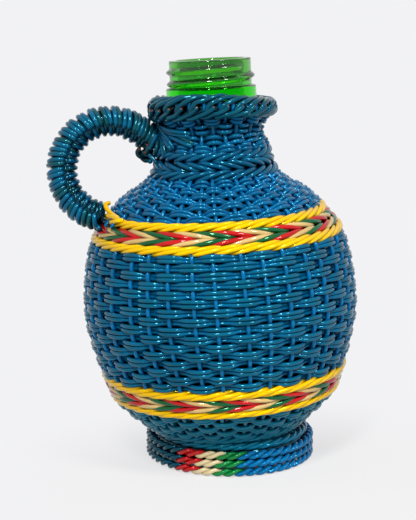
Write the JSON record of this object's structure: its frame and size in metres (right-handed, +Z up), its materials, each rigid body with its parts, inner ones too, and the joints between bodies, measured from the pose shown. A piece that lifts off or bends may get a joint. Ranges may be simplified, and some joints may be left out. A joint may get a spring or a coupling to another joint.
{
  "type": "wire-covered glass bottle",
  "caption": "Screw-neck glass bottle closely woven over with insulated wire, with striped bands, a roped foot, a rolled rim and a wound loop handle.",
  "frame": {"origin": "middle of the box's underside: on the surface that the foot stands on, under the centre of the overall box", "axes": "+Z up from the foot to the lip, -X towards the handle, -Y towards the side with the coloured insert in the foot"},
  "size_m": [0.1142, 0.1018, 0.1477],
  "materials": {
    "green_glass": "clear, bright green",
    "blue_wire": "glossy insulation, mid blue",
    "teal_wire": "glossy insulation, teal blue, a little grimy",
    "handle_wire": "glossy insulation, dark teal",
    "foot_wire": "glossy insulation, bright blue with a red, cream and green insert",
    "yellow_wire": "glossy insulation, yellow",
    "striped_wire": "glossy insulation in red, cream and green turns"
  },
  "bodies": {
    "root": {"glass_bottle": "green_glass", "base_weave": "teal_wire", "foot_skirt": "teal_wire", "foot_weave": "teal_wire", "foot_rope_1": "foot_wire", "foot_rope_2": "foot_wire", "foot_rope_3": "foot_wire", "lower_band_bottom_rope": "yellow_wire", "lower_band_lower_wale": "striped_wire", "lower_band_upper_wale": "striped_wire", "lower_band_top_rope": "yellow_wire", "body_weave": "blue_wire", "upper_band_bottom_rope": "yellow_wire", "upper_band_lower_wale": "striped_wire", "upper_band_upper_wale": "striped_wire", "upper_band_top_rope": "yellow_wire", "shoulder_weave": "blue_wire", "neck_rope_1": "teal_wire", "neck_rope_2": "teal_wire", "neck_rope_3": "teal_wire", "collar_weave": "blue_wire", "rim_rope": "teal_wire", "rim_border": "teal_wire", "handle_core": "handle_wire", "handle_wrap": "handle_wire", "handle_top_lashing": "handle_wire", "handle_lower_lashing": "handle_wire"}
  },
  "joints": []
}
